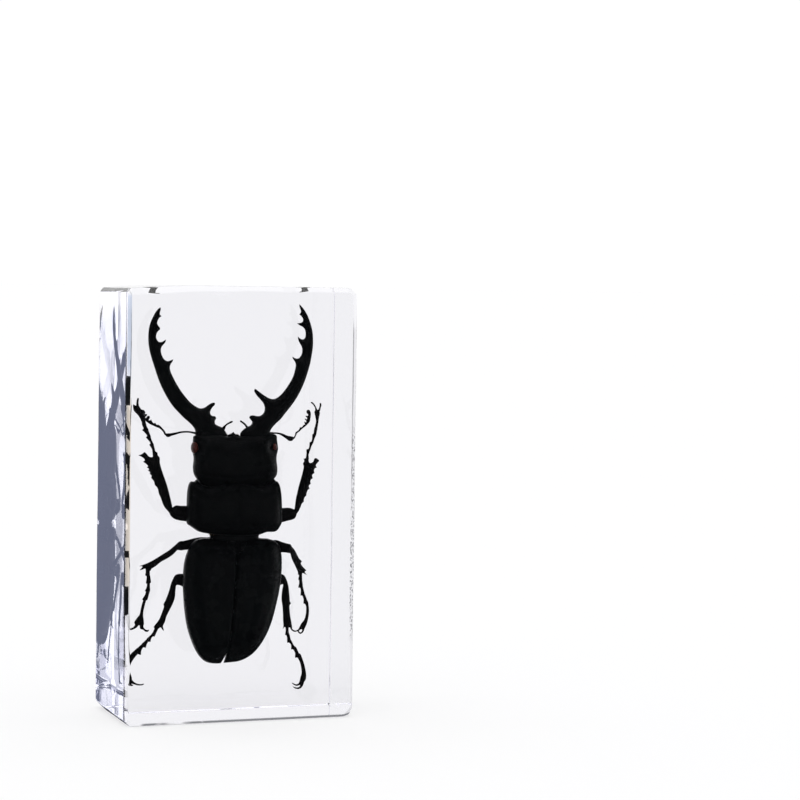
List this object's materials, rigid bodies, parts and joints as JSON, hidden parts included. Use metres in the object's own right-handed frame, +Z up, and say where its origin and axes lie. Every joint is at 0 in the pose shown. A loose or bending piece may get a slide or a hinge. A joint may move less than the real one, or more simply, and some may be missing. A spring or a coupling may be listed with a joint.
{
  "type": "insect in resin block",
  "caption": "Clear rectangular resin block with rounded edges, standing on its small end, with a black long-jawed beetle sealed inside as a display specimen.",
  "frame": {"origin": "middle of the small end face that the block stands on", "axes": "+Z up along the block's long side, towards the beetle's head; -Y out of the wide front face, through which the beetle's back is seen; +X to the right of that view"},
  "size_m": [0.0404, 0.0212, 0.0736],
  "materials": {
    "clear_resin": "polished",
    "black_chitin": "gloss",
    "eye_cuticle": "gloss",
    "golden_setae": "satin"
  },
  "bodies": {
    "root": {"resin_block": "clear_resin"}
  },
  "joints": []
}
